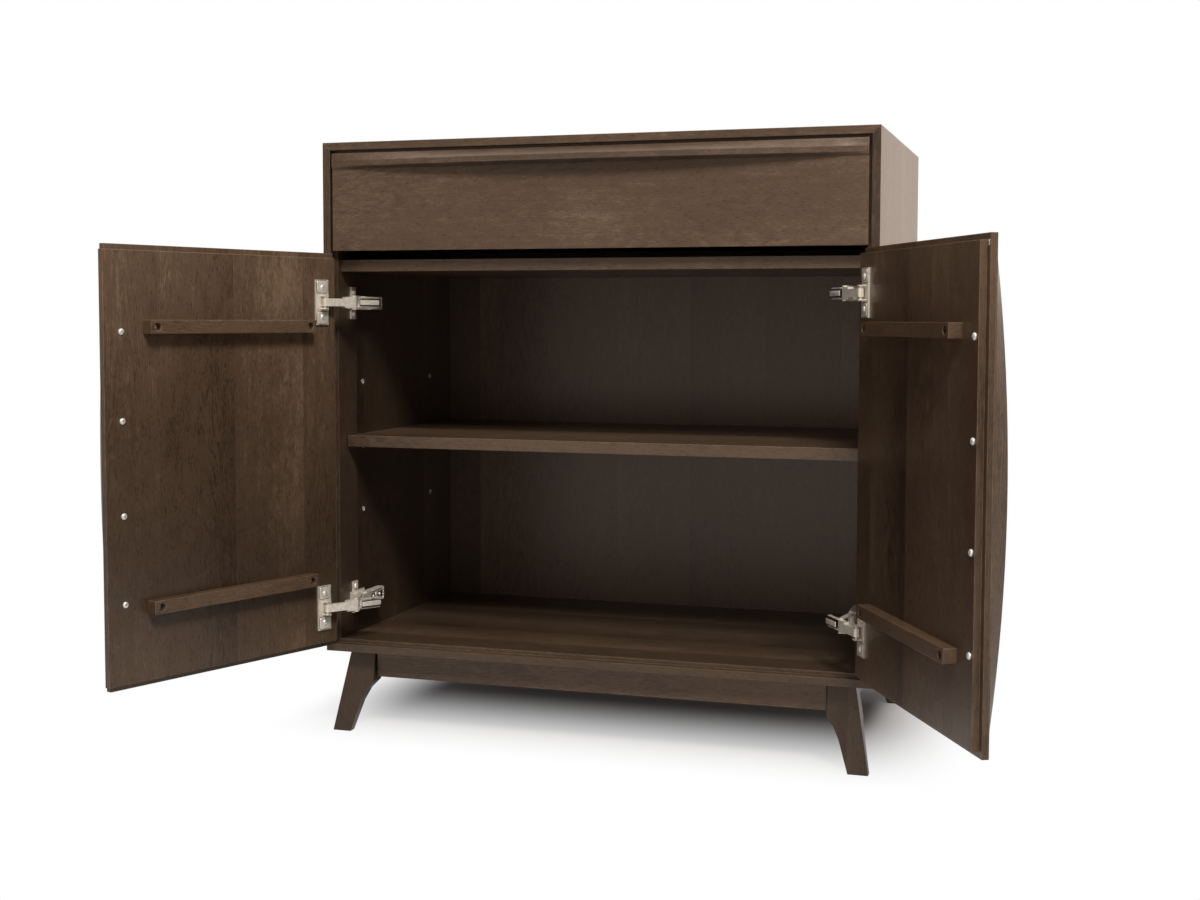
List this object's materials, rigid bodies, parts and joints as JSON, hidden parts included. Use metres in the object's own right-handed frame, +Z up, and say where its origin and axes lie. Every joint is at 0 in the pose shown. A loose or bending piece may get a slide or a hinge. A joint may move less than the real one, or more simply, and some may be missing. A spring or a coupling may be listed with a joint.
{
  "type": "buffet cabinet",
  "caption": "Free-standing wooden buffet cabinet on splayed legs, with a wide drawer over a pair of lipped doors that swing on concealed hinges, and a shelf inside.",
  "frame": {"origin": "on the floor under the middle of the case", "axes": "+X across the width to the right seen from the front, +Y from the front to the back, +Z up"},
  "size_m": [1.2804, 0.9349, 0.98],
  "materials": {
    "stained_wood": "dark brown stain, satin",
    "plain_wood": "clear satin",
    "nickel": "nickel plated",
    "steel_bright": "bright",
    "steel_dark": "blackened",
    "steel_zinc": "zinc plated"
  },
  "bodies": {
    "case": {"back_panel": "stained_wood", "back_screws": "steel_dark", "base_cleats": "plain_wood", "base_screws": "steel_bright", "case_bottom": "stained_wood", "case_runners": "steel_zinc", "case_top": "stained_wood", "drawer_divider": "stained_wood", "front_apron": "stained_wood", "front_left_leg": "stained_wood", "front_right_leg": "stained_wood", "hinge_arms": "nickel", "hinge_plates": "nickel", "left_apron": "stained_wood", "left_side": "stained_wood", "plate_screws": "steel_bright", "rear_apron": "stained_wood", "rear_left_leg": "stained_wood", "rear_right_leg": "stained_wood", "right_apron": "stained_wood", "right_side": "stained_wood", "shelf": "stained_wood", "shelf_pin_sleeves": "steel_bright", "shelf_pins": "steel_bright"},
    "drawer": {"drawer_back": "plain_wood", "drawer_bottom": "plain_wood", "drawer_front": "stained_wood", "drawer_inner_front": "plain_wood", "drawer_left_side": "plain_wood", "drawer_pull": "stained_wood", "drawer_pull_screws": "steel_bright", "drawer_right_side": "plain_wood", "drawer_runners": "steel_zinc"},
    "runner_middle": {"middle_runners": "steel_zinc"},
    "left_door": {"left_batten_screws": "steel_bright", "left_cup_screws": "steel_bright", "left_door": "stained_wood", "left_door_lower_batten": "stained_wood", "left_door_pull": "stained_wood", "left_door_upper_batten": "stained_wood", "left_hinge_cups": "nickel", "left_pull_screws": "steel_bright"},
    "left_levers": {"left_hinge_levers": "nickel"},
    "left_bars": {"left_hinge_bars": "nickel"},
    "right_door": {"right_batten_screws": "steel_bright", "right_cup_screws": "steel_bright", "right_door": "stained_wood", "right_door_lower_batten": "stained_wood", "right_door_pull": "stained_wood", "right_door_upper_batten": "stained_wood", "right_hinge_cups": "nickel", "right_pull_screws": "steel_bright"},
    "right_levers": {"right_hinge_levers": "nickel"},
    "right_bars": {"right_hinge_bars": "nickel"}
  },
  "joints": [
    {"name": "drawer_slide", "type": "slide", "parent": "case", "child": "drawer", "axis": [0, -1, 0], "range_m": [0, 0.38]},
    {"name": "middle_runner_slide", "type": "slide", "parent": "case", "child": "runner_middle", "axis": [0, -1, 0], "range_m": [0, 0.19]},
    {"name": "left_door_hinge", "type": "hinge", "parent": "case", "child": "left_door", "pos_m": [-0.4448, -0.2525, 0.4665], "axis": [0, 0, -1], "range_deg": [-109.95, 8]},
    {"name": "left_lever_hinge", "type": "hinge", "parent": "case", "child": "left_levers", "pos_m": [-0.41539, -0.20721, 0.4665], "axis": [0, 0, -1], "range_deg": [-109.95, 8]},
    {"name": "left_bar_hinge", "type": "hinge", "parent": "left_levers", "child": "left_bars", "pos_m": [-0.40063, -0.253, 0.4665], "axis": [0, 0, -1], "range_deg": [-8, 109.95]},
    {"name": "right_door_hinge", "type": "hinge", "parent": "case", "child": "right_door", "pos_m": [0.4448, -0.2525, 0.4665], "axis": [0, 0, 1], "range_deg": [-117.95, 0]},
    {"name": "right_lever_hinge", "type": "hinge", "parent": "case", "child": "right_levers", "pos_m": [0.41539, -0.20721, 0.4665], "axis": [0, 0, 1], "range_deg": [-117.95, 0]},
    {"name": "right_bar_hinge", "type": "hinge", "parent": "right_levers", "child": "right_bars", "pos_m": [0.40714, -0.25461, 0.4665], "axis": [0, 0, 1], "range_deg": [0, 117.95]}
  ],
  "couplings": [
    {"joint": "middle_runner_slide", "follows": "drawer_slide", "ratio": 0.5},
    {"joint": "left_lever_hinge", "follows": "left_door_hinge", "ratio": 1},
    {"joint": "left_bar_hinge", "follows": "left_door_hinge", "ratio": -1},
    {"joint": "right_lever_hinge", "follows": "right_door_hinge", "ratio": 1},
    {"joint": "right_bar_hinge", "follows": "right_door_hinge", "ratio": -1}
  ]
}
